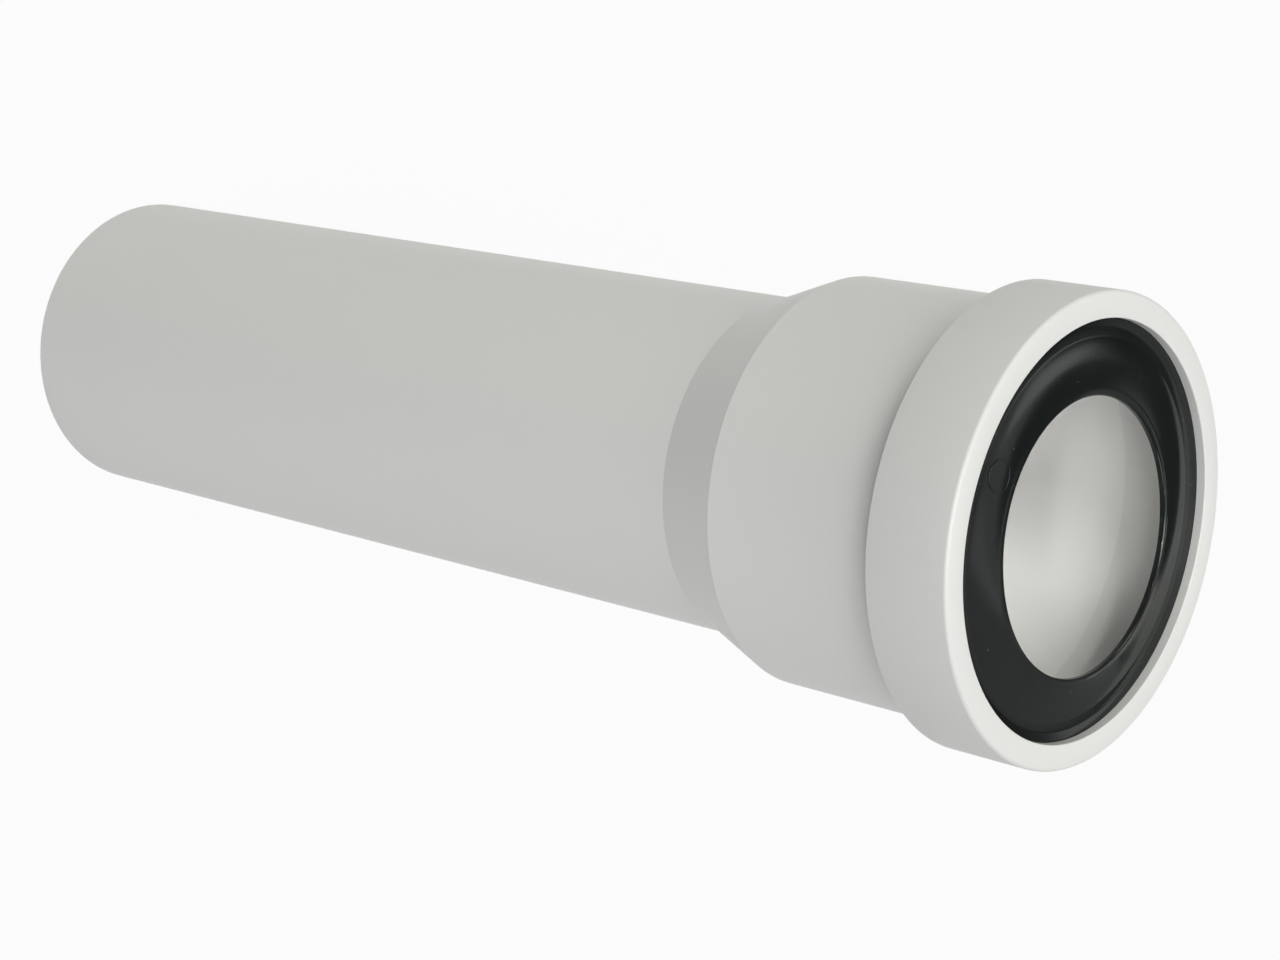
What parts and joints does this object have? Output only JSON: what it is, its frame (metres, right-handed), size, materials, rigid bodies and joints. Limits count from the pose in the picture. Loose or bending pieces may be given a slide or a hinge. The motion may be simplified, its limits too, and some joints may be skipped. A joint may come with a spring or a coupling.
{
  "type": "toilet pan connector",
  "caption": "Straight white plastic pan connector: a plain spigot for the drain, a flared socket with a thick collar, and a black rubber lip seal that grips the toilet pan's outlet.",
  "frame": {"origin": "centre of the spigot's end, on which the connector stands", "axes": "+Z along the pipe's axis, from the spigot's end towards the mouth; the part is round, so X and Y are free"},
  "size_m": [0.143, 0.143, 0.441],
  "materials": {
    "white_plastic": "satin moulded",
    "black_rubber": "smooth moulded, half gloss"
  },
  "bodies": {
    "root": {"body": "white_plastic", "seal": "black_rubber"}
  },
  "joints": []
}
